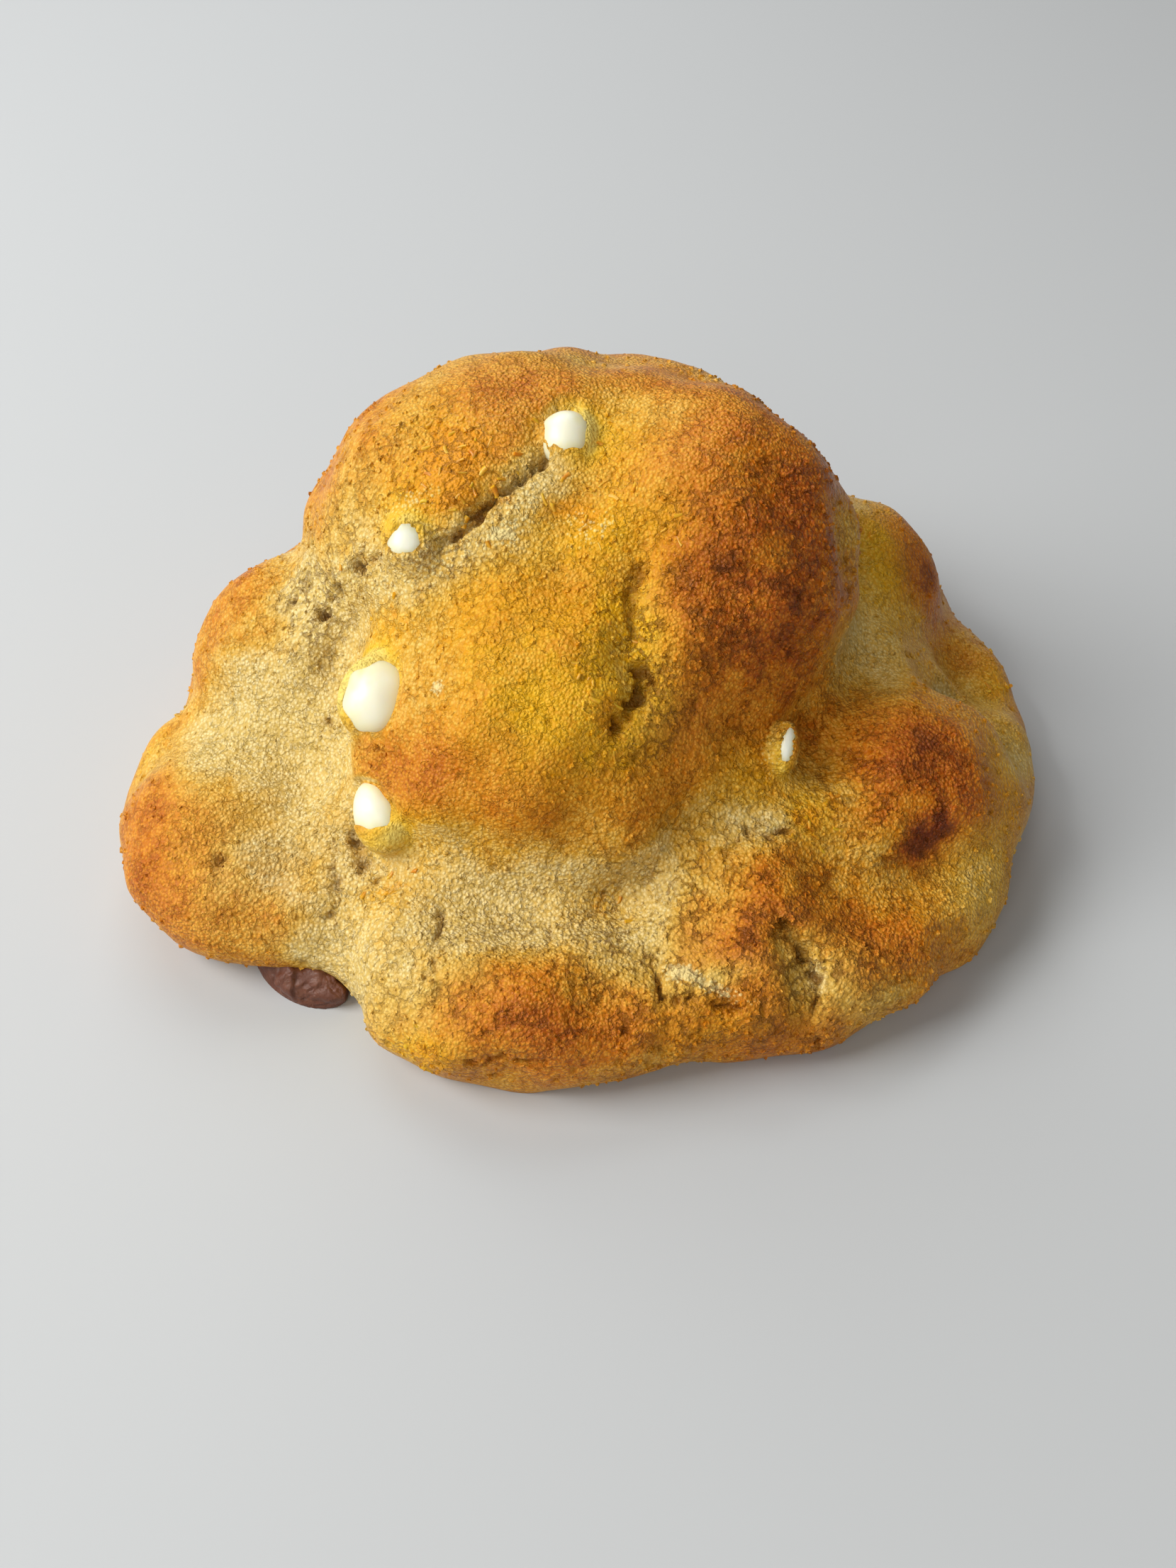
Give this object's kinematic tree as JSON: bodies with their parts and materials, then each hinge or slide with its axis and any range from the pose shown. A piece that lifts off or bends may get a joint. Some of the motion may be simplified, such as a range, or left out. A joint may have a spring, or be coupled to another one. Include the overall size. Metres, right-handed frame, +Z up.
{
  "type": "lemon cheesecake stuffed cookie",
  "caption": "Tall lumpy baked cookie with a cracked crown, a wide uneven foot, half-sunk white chocolate chips and filling that has run out under its rim.",
  "frame": {"origin": "middle of the cookie's flat underside, on the surface that it stands on", "axes": "+X is the cookie's right as pictured, +Y is its back, +Z is up"},
  "size_m": [0.1077, 0.1005, 0.0518],
  "materials": {
    "baked_dough": "baked golden brown crumb, soft buttery sheen",
    "white_chocolate": "smooth, waxy and creamy white",
    "caramelised_filling": "sticky reddish brown, half glossy"
  },
  "bodies": {
    "root": {"cookie": "baked_dough", "chip_top": "white_chocolate", "chip_upper_left": "white_chocolate", "chip_left": "white_chocolate", "chip_lower_left": "white_chocolate", "chip_right": "white_chocolate", "filling_leak": "caramelised_filling"}
  },
  "joints": []
}
